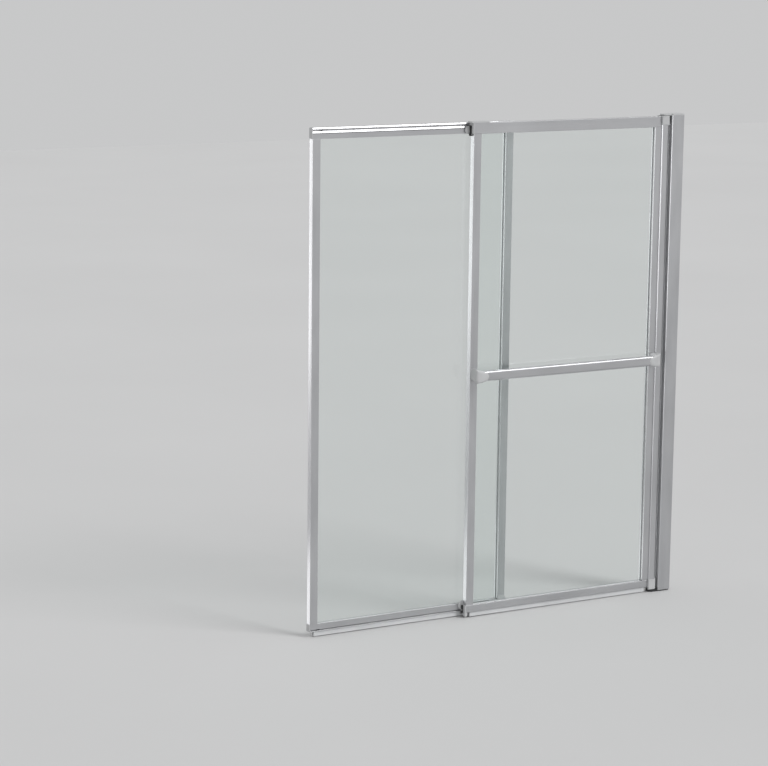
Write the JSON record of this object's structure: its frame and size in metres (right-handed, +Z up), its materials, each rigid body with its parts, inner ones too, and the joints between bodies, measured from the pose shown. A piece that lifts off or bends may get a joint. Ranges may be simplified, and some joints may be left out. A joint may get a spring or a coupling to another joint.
{
  "type": "bath screen",
  "caption": "Framed glass bath screen: a front leaf with a towel bar swings on a wall profile, and a rear leaf slides behind it in the rail grooves.",
  "frame": {"origin": "middle screw hole of the wall channel, on the face that lies against the wall", "axes": "+X along the screen into the wall, +Y into the bath, +Z up"},
  "size_m": [1.201, 0.0755, 1.423],
  "materials": {
    "anodised_aluminium": "satin silver anodised",
    "mill_aluminium": "mill finish",
    "grey_moulding": "satin light grey",
    "black_moulding": "matte black",
    "stainless_steel": "brushed",
    "clear_glass": "clear safety glass",
    "clear_seal": "translucent soft plastic",
    "black_rubber": "matte"
  },
  "bodies": {
    "wall_mount": {"wall_channel": "mill_aluminium", "jamb_profile": "anodised_aluminium", "jamb_screws": "stainless_steel", "jamb_seal": "clear_seal", "upper_hinge_plate": "grey_moulding", "lower_hinge_plate": "black_moulding", "upper_pivot_pin": "stainless_steel", "lower_pivot_pin": "stainless_steel"},
    "swing_leaf": {"pivot_post": "anodised_aluminium", "upper_hinge_block": "grey_moulding", "lower_hinge_block": "grey_moulding", "upper_bush": "black_moulding", "lower_bush": "black_moulding", "front_free_stile": "anodised_aluminium", "front_hinge_stile": "anodised_aluminium", "front_top_rail": "anodised_aluminium", "front_bottom_rail": "anodised_aluminium", "front_glass": "clear_glass", "front_side_gaskets": "clear_seal", "front_rail_gaskets": "clear_seal", "front_corner_screws": "stainless_steel", "front_rail_caps": "grey_moulding", "front_drip_seal": "clear_seal", "overlap_seal": "black_rubber", "front_upper_guide": "grey_moulding", "front_lower_guide": "grey_moulding", "front_upper_glide": "black_moulding", "front_lower_glide": "black_moulding", "upper_buffer": "black_rubber", "lower_buffer": "black_rubber", "front_track_stops": "black_rubber", "towel_bar": "anodised_aluminium", "free_side_bracket": "grey_moulding", "hinge_side_bracket": "grey_moulding", "towel_bar_screws": "stainless_steel"},
    "sliding_leaf": {"rear_free_stile": "anodised_aluminium", "rear_inner_stile": "anodised_aluminium", "rear_top_rail": "anodised_aluminium", "rear_bottom_rail": "anodised_aluminium", "rear_glass": "clear_glass", "rear_side_gaskets": "clear_seal", "rear_rail_gaskets": "clear_seal", "rear_corner_screws": "stainless_steel", "rear_end_caps": "grey_moulding", "rear_drip_seal": "clear_seal", "rear_upper_guide": "grey_moulding", "rear_lower_guide": "grey_moulding", "rear_upper_glide": "black_moulding", "rear_lower_glide": "black_moulding", "rear_track_stops": "black_rubber"}
  },
  "joints": [
    {"name": "leaf_swing", "type": "hinge", "parent": "wall_mount", "child": "swing_leaf", "pos_m": [-0.058, 0, 0], "axis": [0, 0, 1], "range_deg": [-90, 70]},
    {"name": "leaf_slide", "type": "slide", "parent": "swing_leaf", "child": "sliding_leaf", "axis": [1, 0, 0], "range_m": [0, 0.465]}
  ]
}
